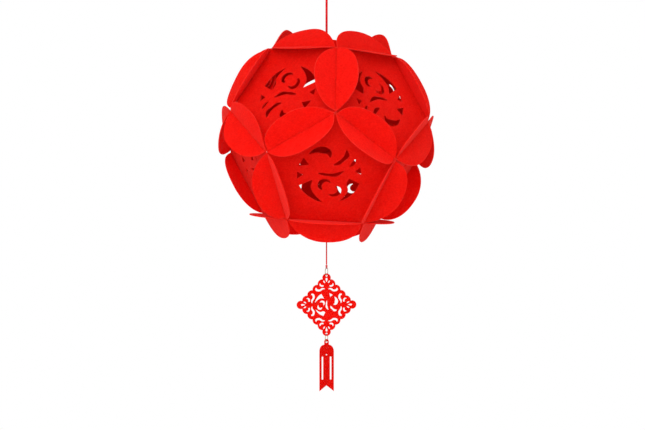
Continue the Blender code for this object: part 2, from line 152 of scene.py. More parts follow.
# Flaps that keep a bend of their own, by panel and side: how far the tip stands out, and how much further
# the blunt end does
FLAP_SET = {
    ("panel_top", 0): (-0.0012, 0.0035),
    ("panel_top", 1): (-0.0110, 0.0),
    ("panel_upper_1", 2): (0.0070, 0.0030),
    ("panel_upper_1", 3): (-0.0070, 0.0),
    ("panel_upper_2", 0): (0.0110, 0.0020),
    ("panel_upper_4", 0): (0.0070, -0.0030),
    ("panel_upper_5", 0): (-0.0030, -0.0060),
    ("panel_upper_5", 1): (-0.0050, -0.0080),
    ("panel_upper_5", 2): (0.0060, 0.0030),
    ("panel_upper_5", 3): (0.0040, 0.0),
    ("panel_lower_2", 2): (-0.0030, 0.0),
    ("panel_lower_3", 4): (0.0060, 0.0),
    ("panel_lower_4", 1): (-0.0080, 0.0),
    ("panel_lower_5", 2): (-0.0060, 0.0030),
    ("panel_lower_5", 3): (-0.0040, 0.0),
    ("panel_bottom", 0): (0.0015, 0.0),
    ("panel_bottom", 1): (-0.0005, 0.0),
    ("panel_bottom", 2): (0.0005, 0.0),
    ("panel_bottom", 3): (0.0005, 0.0),
    ("panel_bottom", 4): (0.0, 0.0),
}

# Camera, light and stage
LENS = 53.35  # millimetres
CAMERA_PLACE = (-0.0867, -1.3052, -0.2524)
CAMERA_DOWN = 3.492  # degrees from level
CAMERA_RIGHT = 3.557  # degrees from +Y
VIEW_DIRECTION = (0.062, 0.996, -0.06)  # towards the middle of the white part of the studio
KEY_DIRECTION = (-0.20, -0.92, 0.34)  # towards the middle of its bright part
KEY_PLACE = (-0.52, -2.10, 0.50)
FLOOR_Z = -0.82
FLOOR_SIDES = 96
FLOOR_RADII = (0.6, 1.5, 3.0, 6.0)
WHITE = (1.0, 1.0, 1.0, 1)
BLACK = (0.0, 0.0, 0.0, 1)

# Openings of the medallion, for a radius of 1: strokes of (x, y, half width), and other cuts of (x, y)
CENTRE_STROKE = (
    (-0.34, 0.03, 0.012), (-0.15, 0.0, 0.045), (0.0, -0.01, 0.04), (0.15, 0.0, 0.06), (0.27, 0.05, 0.05),
    (0.42, 0.15, 0.012),
)
LEFT_SWIRL = (
    (0.05, -0.26, 0.015), (-0.09, -0.20, 0.045), (-0.23, -0.26, 0.065), (-0.27, -0.41, 0.055),
    (-0.20, -0.53, 0.02),
)
RIGHT_SWIRL = (
    (0.03, -0.68, 0.015), (0.17, -0.70, 0.045), (0.31, -0.62, 0.065), (0.33, -0.47, 0.055),
    (0.22, -0.38, 0.02),
)
LEAF_STROKE = (
    (-0.66, 0.66, 0.015), (-0.48, 0.78, 0.07), (-0.27, 0.81, 0.11), (-0.08, 0.74, 0.08),
    (-0.03, 0.58, 0.02),
)
BUD_STROKE = (
    (0.10, 0.34, 0.02), (0.24, 0.40, 0.06), (0.36, 0.52, 0.05), (0.46, 0.66, 0.075), (0.44, 0.84, 0.02),
)
OUTER_STROKE = ((0.58, 0.30, 0.015), (0.68, 0.42, 0.05), (0.72, 0.56, 0.015))
LEFT_CRESCENT = (
    (-0.50, -0.20), (-0.90, -0.42), (-0.78, -0.60), (-0.60, -0.76), (-0.38, -0.89), (-0.14, -0.97),
    (-0.40, -0.72), (-0.54, -0.46),
)
RIGHT_CRESCENT = (
    (0.60, -0.10), (0.54, -0.30), (0.60, -0.50), (0.52, -0.70), (0.36, -0.91), (0.60, -0.77),
    (0.80, -0.55), (0.93, -0.25),
)
LEFT_CUT = ((-0.82, 0.52), (-0.96, 0.23), (-0.64, 0.30))
LEFT_NICK = ((-0.98, 0.04), (-0.97, -0.20), (-0.80, -0.05))
RIGHT_NICK = ((0.95, 0.06), (0.90, 0.30), (0.76, 0.15))

# Openings beside a corner of the pendant, in metres, with the corner's lobe centre at (0, 0) and outward up
PETAL_STROKE = ((0.0022, -0.0074, 0.0003), (0.0034, -0.0058, 0.0009), (0.0042, -0.0040, 0.0004))
CURL_STROKE = (
    (0.0042, -0.0112, 0.0009), (0.0062, -0.0116, 0.0011), (0.0086, -0.0104, 0.0010),
    (0.0088, -0.0080, 0.0004),
)
SWEEP_STROKE = (
    (0.0024, -0.0156, 0.0004), (0.0056, -0.0154, 0.0011), (0.0098, -0.0178, 0.0013),
    (0.0138, -0.0170, 0.0014), (0.0146, -0.0144, 0.0008),
)
TEARDROP = (
    (0, -0.0062), (0.0008, -0.0042), (0.0014, -0.0020), (0.0009, -0.0007), (0, -0.0003),
    (-0.0009, -0.0007), (-0.0014, -0.0020), (-0.0008, -0.0042),
)

# Distance between the points of each kind of outline
PANEL_STEP = 0.0014
PANEL_OPENING_STEP = 0.0009
PENDANT_STEP = 0.0006
PENDANT_OPENING_STEP = 0.0005
PENDANT_CORNER_STEP = 0.0004
TAG_STEP = 0.0008
SLOT_STEP = 0.0007


# Camera, light and stage


def add(name, data):
    obj = bpy.data.objects.new(name, data)
    bpy.context.scene.collection.objects.link(obj)
    return obj


def make_camera():
    data = bpy.data.cameras.new("camera")
    data.sensor_width = 36
    data.lens = LENS
    data.clip_start = 0.05
    camera = add("camera", data)
    camera.location = CAMERA_PLACE
    camera.rotation_euler = (math.radians(90 - CAMERA_DOWN), 0, math.radians(-CAMERA_RIGHT))
    bpy.context.scene.camera = camera


def make_world():
    """A studio that is bright in front, dim elsewhere, and white in the part behind the ball."""
    scene = bpy.context.scene
    scene.view_settings.view_transform = "Standard"
    scene.world = bpy.data.worlds.new("studio")
    scene.world.use_nodes = True
    nodes, links = scene.world.node_tree.nodes, scene.world.node_tree.links
    direction = nodes.new("ShaderNodeTexCoord").outputs["Generated"]

    def towards(aim, low, high):
        """From 0 to 1 as a direction's cosine with aim goes from low to high."""
        node = nodes.new("ShaderNodeVectorMath")
        node.operation = "DOT_PRODUCT"
        node.inputs[1].default_value = Vector(aim).normalized()
        links.new(direction, node.inputs[0])
        smooth = nodes.new("ShaderNodeMapRange")
        smooth.interpolation_type = "SMOOTHSTEP"
        smooth.inputs["From Min"].default_value = low
        smooth.inputs["From Max"].default_value = high
        links.new(node.outputs["Value"], smooth.inputs["Value"])
        return smooth.outputs["Result"]

    dim, bright = (0.12, 0.12, 0.12, 1), (1.05, 1.05, 1.05, 1)
    room = mixed(nodes, links, towards(KEY_DIRECTION, -0.30, 0.60), dim, bright)
    whole = mixed(nodes, links, towards(VIEW_DIRECTION, 0.78, 0.90), room, WHITE)
    links.new(whole, nodes["Background"].inputs["Color"])


def make_key():
    data = bpy.data.lights.new("key", "AREA")
    data.shape = "DISK"
    data.size = 1.3
    data.energy = 17
    data.color = (1.0, 0.99, 0.97)
    key = add("key", data)
    key.location = KEY_PLACE
    key.rotation_euler = (Vector((0, 0, BALL_Z)) - key.location).to_track_quat("-Z", "Y").to_euler()


# Node materials


def new_material(name):
    material = bpy.data.materials.new(name)
    material.use_nodes = True
    nodes = material.node_tree.nodes
    return material, nodes, material.node_tree.links, nodes["Principled BSDF"]


def noise(nodes, links, source, scale, detail=3.0, roughness=0.55, distortion=0.0):
    node = nodes.new("ShaderNodeTexNoise")
    node.inputs["Scale"].default_value = scale
    node.inputs["Detail"].default_value = detail
    node.inputs["Roughness"].default_value = roughness
    node.inputs["Distortion"].default_value = distortion
    links.new(source, node.inputs["Vector"])
    return node.outputs["Fac"]


def ramp(nodes, links, source, stops):
    node = nodes.new("ShaderNodeValToRGB")
    elements = node.color_ramp.elements
    while len(elements) < len(stops):
        elements.new(0.5)
    for element, (place, colour) in zip(elements, stops):
        element.position = place
        element.color = colour
    links.new(source, node.inputs["Fac"])
    return node.outputs["Color"]


def feed(links, value, socket):
    """Link a node's output to the socket, or set the socket to a plain value."""
    if isinstance(value, bpy.types.NodeSocket):
        links.new(value, socket)
    else:
        socket.default_value = value


def mixed(nodes, links, factor, first, second, blend="MIX"):
    node = nodes.new("ShaderNodeMix")
    node.data_type = "RGBA"
    node.blend_type = blend
    for value, socket in ((factor, node.inputs[0]), (first, node.inputs[6]), (second, node.inputs[7])):
        feed(links, value, socket)
    return node.outputs[2]


def product(nodes, links, first, second):
    node = nodes.new("ShaderNodeMath")
    node.operation = "MULTIPLY"
    links.new(first, node.inputs[0])
    links.new(second, node.inputs[1])
    return node.outputs[0]


def ranged(nodes, links, source, low, high):
    """From low to high over the middle of a noise's range."""
    node = nodes.new("ShaderNodeMapRange")
    node.inputs["From Min"].default_value = 0.3
    node.inputs["From Max"].default_value = 0.7
    node.inputs["To Min"].default_value = low
    node.inputs["To Max"].default_value = high
    links.new(source, node.inputs["Value"])
    return node.outputs["Result"]


def bump(nodes, links, height, distance, strength, before=None):
    node = nodes.new("ShaderNodeBump")
    node.inputs["Distance"].default_value = distance
    node.inputs["Strength"].default_value = strength
    links.new(height, node.inputs["Height"])
    if before:
        links.new(before, node.inputs["Normal"])
    return node.outputs["Normal"]


def felt_material():
    """Needled wool felt: matted fibres, soft mottling, paler fuzz on the cut edges and a faint sheen."""
    material, nodes, links, shader = new_material("red_felt")
    place = nodes.new("ShaderNodeTexCoord").outputs["Object"]
    patches = noise(nodes, links, place, 70, 2.0)
    clumps = noise(nodes, links, place, 420, 4.0, 0.65, 0.6)
    fibres = noise(nodes, links, place, 1900, 5.0, 0.75, 2.2)
    base = ramp(nodes, links, clumps, [
        (0.30, (0.770, 0.0030, 0.0008, 1)),
        (0.50, (0.860, 0.0072, 0.0036, 1)),
        (0.70, (0.930, 0.0150, 0.0100, 1)),
    ])
    tone = ramp(nodes, links, patches, [(0.30, (0.93, 0.93, 0.93, 1)), (0.70, WHITE)])
    base = mixed(nodes, links, 1.0, base, tone, "MULTIPLY")
    hairs = ramp(nodes, links, fibres, [(0.42, (0.88, 0.82, 0.80, 1)), (0.62, WHITE)])
    base = mixed(nodes, links, 1.0, base, hairs, "MULTIPLY")
    # Painted shade: a factor on each sheet that darkens the felt colour of the tag and the pendant for the
    # less light they get
    painted_shade = nodes.new("ShaderNodeAttribute")
    painted_shade.attribute_name = "painted_shade"
    base = mixed(nodes, links, 1.0, base, painted_shade.outputs["Fac"], "MULTIPLY")
    edge = nodes.new("ShaderNodeAttribute")
    edge.attribute_name = "cut_edge"
    fuzz = product(nodes, links, edge.outputs["Fac"], ranged(nodes, links, fibres, 0.25, 0.75))
    base = mixed(nodes, links, fuzz, base, (0.88, 0.030, 0.022, 1))
    links.new(base, shader.inputs["Base Color"])
    links.new(ranged(nodes, links, clumps, 0.86, 1.0), shader.inputs["Roughness"])
    soft = bump(nodes, links, patches, 0.0016, 0.5)
    matted = bump(nodes, links, clumps, 0.0006, 0.45, soft)
    links.new(bump(nodes, links, fibres, 0.00025, 0.5, matted), shader.inputs["Normal"])
    shader.inputs["Subsurface Weight"].default_value = 1.0
    shader.inputs["Subsurface Radius"].default_value = (1.0, 0.12, 0.06)
    shader.inputs["Subsurface Scale"].default_value = 0.0045
    shader.inputs["Specular IOR Level"].default_value = 0.04
    shader.inputs["Sheen Weight"].default_value = 0.08
    shader.inputs["Sheen Roughness"].default_value = 0.45
    shader.inputs["Sheen Tint"].default_value = (1.0, 0.42, 0.38, 1)
    return material


def cord_material():
    """Polyester cord: fine filaments, drawn out along an upright cord, and a faint silky sheen."""
    material, nodes, links, shader = new_material("red_cord")
    place = nodes.new("ShaderNodeTexCoord").outputs["Object"]
    along = nodes.new("ShaderNodeMapping")
    along.inputs["Scale"].default_value = (1.0, 1.0, 0.22)
    links.new(place, along.inputs["Vector"])
    filaments = noise(nodes, links, along.outputs["Vector"], 5200, 3.0, 0.6)
    patches = noise(nodes, links, place, 260, 2.0)
    base = ramp(nodes, links, filaments, [
        (0.32, (0.620, 0.0030, 0.0060, 1)),
        (0.52, (0.780, 0.0060, 0.0110, 1)),
        (0.72, (0.860, 0.0150, 0.0200, 1)),
    ])
    tone = ramp(nodes, links, patches, [(0.35, (0.88, 0.88, 0.88, 1)), (0.65, WHITE)])
    links.new(mixed(nodes, links, 1.0, base, tone, "MULTIPLY"), shader.inputs["Base Color"])
    links.new(ranged(nodes, links, filaments, 0.42, 0.68), shader.inputs["Roughness"])
    links.new(bump(nodes, links, filaments, 0.0002, 0.6), shader.inputs["Normal"])
    shader.inputs["Specular IOR Level"].default_value = 0.05
    shader.inputs["Sheen Weight"].default_value = 0.08
    shader.inputs["Sheen Roughness"].default_value = 0.35
    shader.inputs["Sheen Tint"].default_value = (1.0, 0.55, 0.5, 1)
    return material


def gold_material():
    """Pale gold plating on wire, finely scuffed, with lighter and darker patches."""
    material, nodes, links, shader = new_material("gold_wire")
    place = nodes.new("ShaderNodeTexCoord").outputs["Object"]
    scuffs = noise(nodes, links, place, 2600, 3.0, 0.6, 0.4)
    patches = noise(nodes, links, place, 380, 2.0)
    base = ramp(nodes, links, patches, [
        (0.35, (0.32, 0.19, 0.045, 1)),
        (0.50, (0.42, 0.27, 0.075, 1)),
        (0.70, (0.56, 0.39, 0.14, 1)),
    ])
    links.new(base, shader.inputs["Base Color"])
    links.new(ranged(nodes, links, scuffs, 0.16, 0.34), shader.inputs["Roughness"])
    links.new(bump(nodes, links, scuffs, 0.00003, 0.35), shader.inputs["Normal"])
    shader.inputs["Metallic"].default_value = 1.0
    return material


def stage_material():
    """A pale floor that catches the shade below the ball and turns plain white farther out."""
    material, nodes, links, shader = new_material("studio_floor")
    place = nodes.new("ShaderNodeTexCoord").outputs["Object"]
    grain = noise(nodes, links, place, 9, 3.0)
    links.new(ranged(nodes, links, grain, 0.75, 0.85), shader.inputs["Roughness"])
    shader.inputs["Specular IOR Level"].default_value = 0.0
    length = nodes.new("ShaderNodeVectorMath")
    length.operation = "LENGTH"
    links.new(place, length.inputs[0])
    far = ramp(nodes, links, length.outputs["Value"], [(0.35, BLACK), (0.62, WHITE)])
    pale = ramp(nodes, links, grain, [(0.3, (0.90, 0.90, 0.90, 1)), (0.7, (0.93, 0.93, 0.93, 1))])
    links.new(mixed(nodes, links, far, pale, BLACK), shader.inputs["Base Color"])
    links.new(far, shader.inputs["Emission Color"])
    shader.inputs["Emission Strength"].default_value = 1.0
    return material


# Flat outlines. A loop is an array of (x, y) and any further columns, and it is closed.


def through(points, closed):
    """A Catmull-Rom curve through these points, in ten parts from each one to the next."""
    p = np.array(points, float)
    if closed:
        p = np.vstack([p[-1], p, p[0], p[1]])
    else:
        p = np.vstack([2 * p[0] - p[1], p, 2 * p[-1] - p[-2]])
    t = np.linspace(0, 1, 10, endpoint=False)[:, None]
    out = []
    for a, b, c, d in zip(p, p[1:], p[2:], p[3:]):
        square, cube = 2 * a - 5 * b + 4 * c - d, 3 * b - a - 3 * c + d
        out.append(0.5 * (2 * b + (c - a) * t + square * t**2 + cube * t**3))
    if not closed:
        out.append(p[-2][None])
    return np.vstack(out)


def turns(loop):
    """How far the closed loop turns at each point, in degrees."""
    before = loop[:, :2] - np.roll(loop[:, :2], 1, 0)
    after = np.roll(loop[:, :2], -1, 0) - loop[:, :2]
    cross = before[:, 0] * after[:, 1] - before[:, 1] * after[:, 0]
    return np.abs(np.degrees(np.arctan2(cross, (before * after).sum(1))))


def runs(loop, sharp):
    """The loop split at its points that turn by more than this, each run with both its ends."""
    corners = np.flatnonzero(turns(loop) > sharp)
    if not len(corners):
        return [np.vstack([loop, loop[:1]])]
    found = []
    for i, start in enumerate(corners):
        end = corners[(i + 1) % len(corners)]
        count = (end - start) % len(loop) or len(loop)
        found.append(loop[(start + np.arange(count + 1)) % len(loop)])
    return found


def even(loop, step, sharp=38):
    """The loop with points this far apart, with its corners kept."""
    parts = []
    for run in runs(np.array(loop, float), sharp):
        lengths = np.hypot(*np.diff(run[:, :2], axis=0).T)
        far = np.concatenate([[0], np.cumsum(lengths)])
        count = max(round(far[-1] / step), 1)
        at = np.linspace(0, far[-1], count, endpoint=False)
        parts.append(np.stack([np.interp(at, far, column) for column in run.T], 1))
    return np.vstack(parts)


def rounded(points):
    """A smooth loop through a cut's points, with its sharp corners kept."""
    found = runs(np.array(points, float), 52)
    if len(found) == 1:
        return through(points, True)
    return np.vstack([through(run, False)[:-1] if len(run) > 2 else run[:-1] for run in found])


def stroke_outline(stroke):
    """The outline of a stroke whose points are (x, y, half width)."""
    fine = through(stroke, False)
    slope = np.gradient(fine[:, :2], axis=0)
    across = np.stack([-slope[:, 1], slope[:, 0]], 1) / np.hypot(*slope.T)[:, None] * fine[:, 2:3]
    return np.vstack([fine[:, :2] - across, (fine[:, :2] + across)[::-1]])


def circle(x, y, radius, count):
    a = np.linspace(0, 2 * math.pi, count, endpoint=False)
    return np.stack([x + radius * np.cos(a), y + radius * np.sin(a)], 1)


def area(loop):
    x, y = loop[:, 0], loop[:, 1]
    return 0.5 * float(x @ np.roll(y, -1) - y @ np.roll(x, -1))


def wound(loops):
    """The first loop anticlockwise and the rest clockwise, so that the felt is always on the left."""
    return [loop if (area(loop) > 0) == (i == 0) else loop[::-1] for i, loop in enumerate(loops)]


def square_cuts(loops):
    """The loops with cuts that go straight through the sheet."""
    return [np.column_stack([loop, np.zeros_like(loop)]) for loop in loops]


def medallion_openings(radius, weight=1.0):
    """The larger openings, with strokes this many times as wide."""
    strokes = [CENTRE_STROKE, LEFT_SWIRL, RIGHT_SWIRL, LEAF_STROKE, BUD_STROKE]
    outlines = [stroke_outline(np.array(s) * (1, 1, weight)) for s in strokes]
    outlines += [rounded(c) for c in (LEFT_CRESCENT, RIGHT_CRESCENT, LEFT_CUT)]
    return [outline * radius for outline in outlines]


def small_openings(radius):
    """The openings that only a panel's medallion has."""
    outlines = (stroke_outline(OUTER_STROKE), rounded(LEFT_NICK), rounded(RIGHT_NICK))
    return [outline * radius for outline in outlines]


def flap_outline():
    """One flap and its slit as (along the edge, outward, lean of the cut)."""
    reach = EDGE / 2 - TAPER_SETBACK
    arc_radius = (FLAP_HEIGHT**2 + reach**2) / (2 * FLAP_HEIGHT)
    a = -math.asin(reach / arc_radius) * np.linspace(1, 0, 30, endpoint=False)
    arc = np.stack([arc_radius * np.sin(a), arc_radius * np.cos(a) - arc_radius + FLAP_HEIGHT], 1)
    half = SLIT / 2
    a = np.linspace(math.pi / 2, math.asin((half / FLAP_HEIGHT) ** (BLUNT_POWER / 2)), 90)
    along = (EDGE / 2 - BLUNT_SETBACK) * np.abs(np.cos(a)) ** (2 / BLUNT_POWER)
    end = np.stack([along, FLAP_HEIGHT * np.sin(a) ** (2 / BLUNT_POWER)], 1)
    a = np.linspace(math.pi / 2, 3 * math.pi / 2, 9)
    slit_end = np.stack([half * np.cos(a), half * np.sin(a)], 1)
    points = np.vstack([arc, end, slit_end, [[EDGE / 2 + CORNER_REACH, -half]]])
    past = np.clip((points[:, 1] - half) / SLIT_LEAN_FADE, 0, 1)
    in_slit = points[:, 0] > -SLIT
    return np.column_stack([points, SLIT_LEAN * (1 - past) * in_slit])


def panel_loops():
    loop = []
    for k in range(5):
        along = np.array([math.cos(STEP * k), math.sin(STEP * k)])
        outward = np.array([along[1], -along[0]])
        for u, n, lean in flap_outline():
            loop.append((*(outward * (PENTAGON_INRADIUS * EDGE + n) + along * u), *(outward * lean)))
    openings = square_cuts(medallion_openings(MEDALLION_RADIUS) + small_openings(MEDALLION_RADIUS))
    return wound([even(loop, PANEL_STEP)] + [even(opening, PANEL_OPENING_STEP) for opening in openings])


def outer_crossing(first, second):
    """Where two circles (x, y, radius) cross, on the left of the way from the first to the second."""
    dx, dy = second[0] - first[0], second[1] - first[1]
    distance = math.hypot(dx, dy)
    along = (distance**2 + first[2] ** 2 - second[2] ** 2) / (2 * distance)
    height = math.sqrt(first[2] ** 2 - along**2)
    x = first[0] + (dx * along - dy * height) / distance
    y = first[1] + (dy * along + dx * height) / distance
    return x, y


def scalloped_loop():
    """The pendant's edge: a lobe on each corner and four scallops on each side, going clockwise."""
    top = Vector((0, PENDANT_HALF_HEIGHT - PENDANT_LOBE_RADIUS))
    right = Vector((PENDANT_HALF_WIDTH - PENDANT_LOBE_RADIUS, 0))
    corners = [top, right, -top, -right]
    circles = []
    for i, corner in enumerate(corners):
        circles.append((*corner, PENDANT_LOBE_RADIUS))
        side = corners[(i + 1) % 4] - corner
        inward = Vector((side.y, -side.x)).normalized() * PENDANT_SCALLOP_INSET
        for k in range(1, 5):
            circles.append((*(corner + side * k / 5 + inward), PENDANT_SCALLOP_RADIUS))
    points = []
    for i, (x, y, radius) in enumerate(circles):
        start = outer_crossing(circles[i - 1], circles[i])
        end = outer_crossing(circles[i], circles[(i + 1) % len(circles)])
        first = math.atan2(start[1] - y, start[0] - x)
        turn = (first - math.atan2(end[1] - y, end[0] - x)) % (2 * math.pi)
        for angle in first - turn * np.linspace(0, 1, 14, endpoint=False):
            points.append((x + radius * math.cos(angle), y + radius * math.sin(angle)))
    return np.array(points)


def pendant_loops():
    loops = [even(scalloped_loop(), PENDANT_STEP, 25)]
    halves = [stroke_outline(s) for s in (PETAL_STROKE, CURL_STROKE, SWEEP_STROKE)]
    openings = [rounded(TEARDROP)] + halves + [h * (-1, 1) for h in halves]
    for quarter, far in enumerate([PENDANT_HALF_HEIGHT, PENDANT_HALF_WIDTH] * 2):
        c, s = math.cos(-quarter * math.pi / 2), math.sin(-quarter * math.pi / 2)
        turn = np.array([[c, s], [-s, c]])
        for opening in openings:
            loops.append(even((opening + (0, far - PENDANT_LOBE_RADIUS)) @ turn, PENDANT_CORNER_STEP))
    for opening in medallion_openings(PENDANT_MEDALLION_RADIUS, PENDANT_STROKE_WEIGHT):
        loops.append(even(opening[:, ::-1] * (1, -1), PENDANT_OPENING_STEP))
    for y in (UPPER_RING_Z - RING_RADIUS - HOLE_DROP, LOWER_RING_Z + RING_RADIUS + HOLE_DROP):
        loops.append(circle(0, y - PENDANT_Z, HOLE_RADIUS, 20))
    return wound(square_cuts(loops))


def tag_loops():
    a = np.radians(np.linspace(0, 90, 10))
    half = [(TAB_HALF * math.sin(t), -TAB_HALF * (1 - math.cos(t))) for t in a]
    half += [(TAB_HALF, -TAB_LENGTH)]
    shoulder_x = TAG_HALF_WIDTH - TAG_SHOULDER
    shoulder_y = -TAB_LENGTH - SHOULDER_HEIGHT - SHOULDER_DROP
    for t in a:
        half.append((shoulder_x + TAG_SHOULDER * math.sin(t), shoulder_y + SHOULDER_HEIGHT * math.cos(t)))
    half += [(TAG_HALF_WIDTH, -TAG_LENGTH)]
    outline = half + [(0, -TAG_LENGTH + TAG_NOTCH)] + [(-x, y) for x, y in reversed(half[1:])]
    hole_y = LOWER_RING_Z - RING_RADIUS - HOLE_DROP - TAG_TOP_Z
    loops = [even(outline, TAG_STEP, 25), circle(0, hole_y, HOLE_RADIUS, 20)]
    loops.append(circle(0, PIN_HOLE_Y, PIN_HOLE_RADIUS, 18))
    a = np.linspace(0, math.pi, 9)
    across, rise = SLOT_HALF_WIDTH * np.cos(a), SLOT_HALF_WIDTH / 2 * np.sin(a)
    top_end = np.stack([across, SLOT_TOP_Y + rise], 1)
    bottom_end = np.stack([-across, SLOT_BOTTOM_Y - rise], 1)
    slot = np.vstack([top_end, bottom_end])
    for side in (1, -1):
        loops.append(even(slot + (side * SLOT_X, 0), SLOT_STEP, 60))
    return wound(square_cuts(loops))


def washer_loops():
    return wound(square_cuts([circle(0, 0, WASHER_RADIUS, 72), circle(0, 0, WASHER_HOLE_RADIUS, 24)]))


# Sheets of felt


def within(points, loops):
    """Which points have felt at them."""
    odd = np.zeros(len(points), bool)
    x, y = points[:, 0], points[:, 1]
    for loop in loops:
        for (ax, ay), (bx, by) in zip(loop[:, :2], np.roll(loop[:, :2], -1, 0)):
            if ay == by:
                continue
            spans = (ay > y) != (by > y)
            odd ^= spans & (x < ax + (y - ay) / (by - ay) * (bx - ax))
    return odd


def outward_of(loop):
    """The direction away from the felt at each point of a loop, and how much farther a corner reaches."""
    p = loop[:, :2]
    edge = np.roll(p, -1, 0) - p
    edge /= np.hypot(*edge.T)[:, None]
    right = np.stack([edge[:, 1], -edge[:, 0]], 1)
    both = right + np.roll(right, 1, 0)
    length = np.hypot(*both.T)[:, None]
    return both / length, np.minimum(2 / length, 1.6)[:, 0]


def filled(loops, step):
    """Points and triangles that cover the felt. The loops' own points come first."""
    edge = np.vstack([loop[:, :2] for loop in loops])
    tree = kdtree.KDTree(len(edge))
    for i, (x, y) in enumerate(edge):
        tree.insert((x, y, 0), i)
    tree.balance()
    low, high = edge.min(0), edge.max(0)
    grid = []
    for j, y in enumerate(np.arange(low[1], high[1], 0.866 * step)):
        grid += [(x, y) for x in np.arange(low[0] + (j % 2) * step / 2, high[0], step)]
    grid = np.array(grid)
    grid = grid[within(grid, loops)]
    grid = [(x, y) for x, y in grid if tree.find((x, y, 0))[2] > 0.62 * step]
    points = np.vstack([edge, np.array(grid).reshape(-1, 2)])
    chain, start = [], 0
    for loop in loops:
        chain += [(start + i, start + (i + 1) % len(loop)) for i in range(len(loop))]
        start += len(loop)
    verts, _, faces, origin, _, _ = delaunay_2d_cdt([Vector(p) for p in points], chain, [], 0, 1e-9)
    if len(verts) != len(points):
        raise ValueError(f"an outline crosses itself: {len(points)} points became {len(verts)}")
    source = np.array([o[0] for o in origin])
    faces = source[np.array(faces)]
    faces = faces[within(points[faces].mean(1), loops)]
    a, b, c = (points[faces[:, i]] for i in range(3))
    clockwise = (b - a)[:, 0] * (c - a)[:, 1] - (b - a)[:, 1] * (c - a)[:, 0] < 0
    faces[clockwise] = faces[clockwise][:, ::-1]
    return points, faces


def cut_sheet(loops, step, soft=SOFT_EDGE):
    """A flat sheet for bent_sheet: points (x, y, z, normal x, normal y, 1 on a cut edge), and polygons."""
    edges = [outward_of(loop) for loop in loops]
    outward = np.vstack([o for o, _ in edges])
    reach = np.concatenate([r for _, r in edges])
    rim = np.vstack([loop[:, :2] for loop in loops])
    lean = np.vstack([loop[:, 2:] for loop in loops])
    inset, begin = [], 0
    for loop in loops:
        part = slice(begin, begin + len(loop))
        inset.append(rim[part] - outward[part] * (soft * reach[part])[:, None])
        begin += len(loop)
    points, faces = filled(inset, step)
    m, n = len(rim), len(points)
    half = FELT / 2
    full_lean = np.vstack([lean, np.zeros((n - m, 2))])
    rows = []
    for side in (1, -1):
        sheet = points + full_lean * half * side
        rows.append(np.column_stack([sheet, np.full(n, half * side), np.zeros((n, 2)), np.zeros(n)]))
    for side in (1, -1):
        z = (half - soft) * side
        rows.append(np.column_stack([rim + lean * z, np.full(m, z), outward, np.ones(m)]))
    back, front_wall, back_wall = n, 2 * n, 2 * n + m  # where each group of points starts
    polygons = [tuple(f) for f in faces] + [tuple(f[::-1] + back) for f in faces]
    start = 0
    for loop in loops:
        for i in range(len(loop)):
            p, q = start + i, start + (i + 1) % len(loop)
            for below, above in ((back, back_wall), (back_wall, front_wall), (front_wall, 0)):
                polygons.append((p + below, q + below, q + above, p + above))
        start += len(loop)
    return np.vstack(rows), polygons


def bent_sheet(name, cut, matrix, material, bend=None, painted_shade=1.0):
    """A sheet object: each point moves by bend(x, y) along the flat sheet's normal, then through matrix."""
    rows, polygons = cut
    x, y, z, out_x, out_y, cut_edge = rows.T
    lift, slope_x, slope_y = np.zeros_like(x), np.zeros_like(x), np.zeros_like(x)
    if bend:
        near = 0.0002
        lift = bend(x, y)
        slope_x = (bend(x + near, y) - bend(x - near, y)) / (2 * near)
        slope_y = (bend(x, y + near) - bend(x, y - near)) / (2 * near)
    wall = cut_edge > 0
    face_side = np.sign(z)
    normals = np.stack([
        np.where(wall, out_x, -slope_x * face_side),
        np.where(wall, out_y, -slope_y * face_side),
        np.where(wall, out_x * slope_x + out_y * slope_y, face_side),
    ], 1)
    normals /= np.linalg.norm(normals, axis=1)[:, None]
    m = np.array(matrix)
    places = np.stack([x, y, z + lift], 1) @ m[:3, :3].T + m[:3, 3]
    normals = normals @ m[:3, :3].T
    mesh = bpy.data.meshes.new(name)
    mesh.from_pydata(places.tolist(), [], polygons)
    mesh.shade_smooth()
    mesh.normals_split_custom_set_from_vertices(normals.tolist())
    # The second attribute is painted shade: a factor on each sheet that darkens its felt colour
    for key, values in (("cut_edge", cut_edge), ("painted_shade", np.full(len(rows), painted_shade))):
        mesh.attributes.new(key, "FLOAT", "POINT").data.foreach_set("value", values.astype(np.float32))
    mesh.materials.append(material)
    return add(name, mesh)


def finish_sheet(obj, node, body):
    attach(obj, body)
    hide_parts(node)


# The ball


def on_axis(distance):
    """The height on the cord's axis of a plane this far from the ball's centre, parallel to panel_top."""
    return BALL_Z + distance / math.cos(TILT)


def face_matrix(polar, azimuth, bottom_edge_up):
    """The place of a panel whose normal leans by polar from straight up, towards azimuth."""
    c, s = math.cos(azimuth), math.sin(azimuth)
    normal = Vector((math.sin(polar) * c, math.sin(polar) * s, math.cos(polar)))
    up = Vector((-math.cos(polar) * c, -math.cos(polar) * s, math.sin(polar)))
    y = -up if bottom_edge_up else up
    turn = Matrix((y.cross(normal), y, normal)).transposed().to_4x4()
    return Matrix.Translation(normal * FACE_DISTANCE * EDGE) @ turn


def panel_places():
    places = {"panel_top": face_matrix(0.0, -math.pi / 2, True)}
    for k in range(5):
        azimuth = math.radians(-54) + STEP * k
        places[f"panel_upper_{k + 1}"] = face_matrix(FACE_POLAR, azimuth, True)
    for k in range(5):
        azimuth = math.radians(-90) + STEP * k
        places[f"panel_lower_{k + 1}"] = face_matrix(math.pi - FACE_POLAR, azimuth, False)
    places["panel_bottom"] = face_matrix(math.pi, math.pi / 2, False)
    return places


